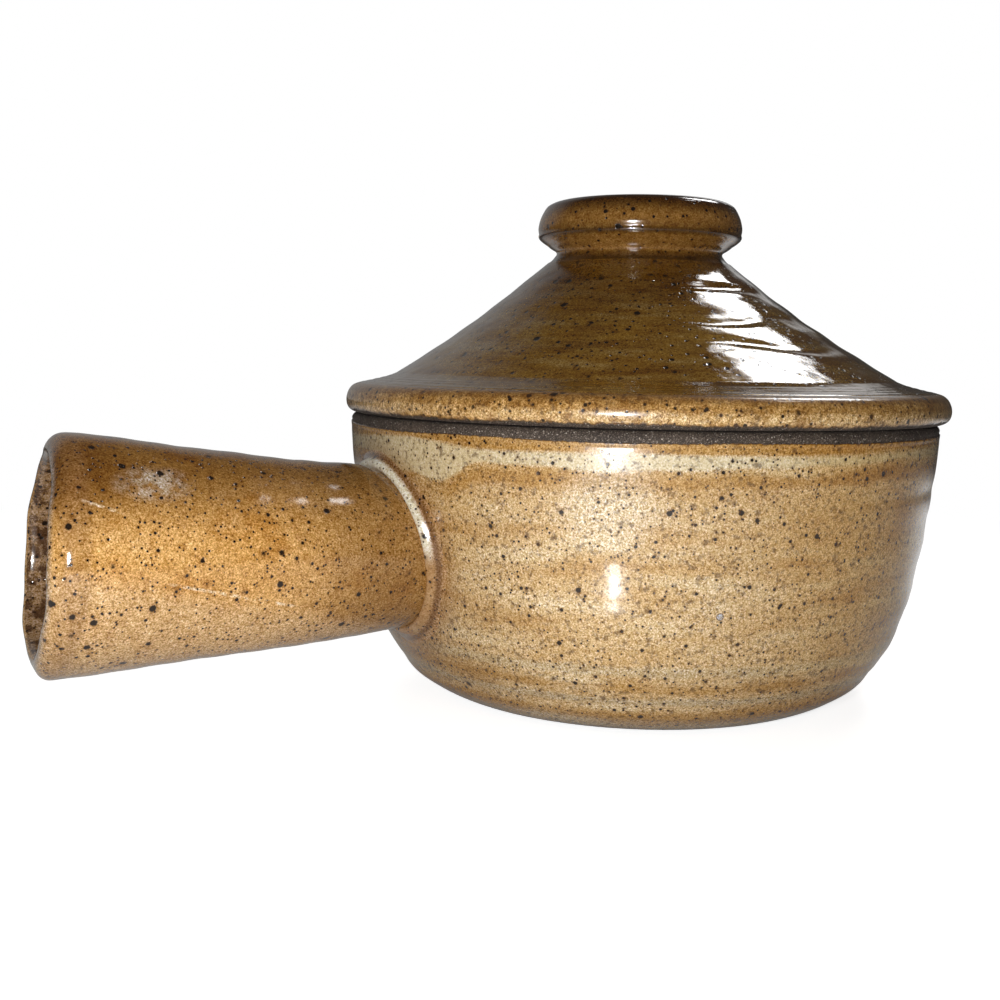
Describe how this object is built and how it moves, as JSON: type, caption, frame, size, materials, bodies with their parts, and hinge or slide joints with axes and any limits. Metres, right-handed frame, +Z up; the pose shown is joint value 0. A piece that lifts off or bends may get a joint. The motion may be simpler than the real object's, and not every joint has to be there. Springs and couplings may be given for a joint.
{
  "type": "lidded soup bowl",
  "caption": "Round stoneware soup bowl with a hollow flared side handle and a loose cone-shaped lid with a flared knob.",
  "frame": {"origin": "centre of the flat foot, on the bowl's axis", "axes": "+Z up along the bowl's axis, and the handle points along -X"},
  "size_m": [0.1986, 0.133, 0.1086],
  "materials": {
    "bowl_glaze": "glossy speckled tan stoneware glaze with brown breaks and cream bands",
    "handle_glaze": "glossy speckled amber stoneware glaze",
    "collar_glaze": "glossy cream glaze pooled on a raised ring",
    "lid_glaze": "glossy speckled olive-brown stoneware glaze, amber at the edge",
    "bare_clay": "matt unglazed iron-rich stoneware",
    "knob_glaze": "glossy speckled amber-brown stoneware glaze"
  },
  "bodies": {
    "bowl": {"bowl_body": "bowl_glaze", "handle": "handle_glaze", "handle_collar": "collar_glaze"},
    "lid": {"lid": "lid_glaze", "lid_flange": "bare_clay", "lid_knob": "knob_glaze"}
  },
  "joints": [
    {"name": "lid_lift", "type": "slide", "parent": "bowl", "child": "lid", "axis": [0, 0, 1], "range_m": [0, 0.12]}
  ]
}
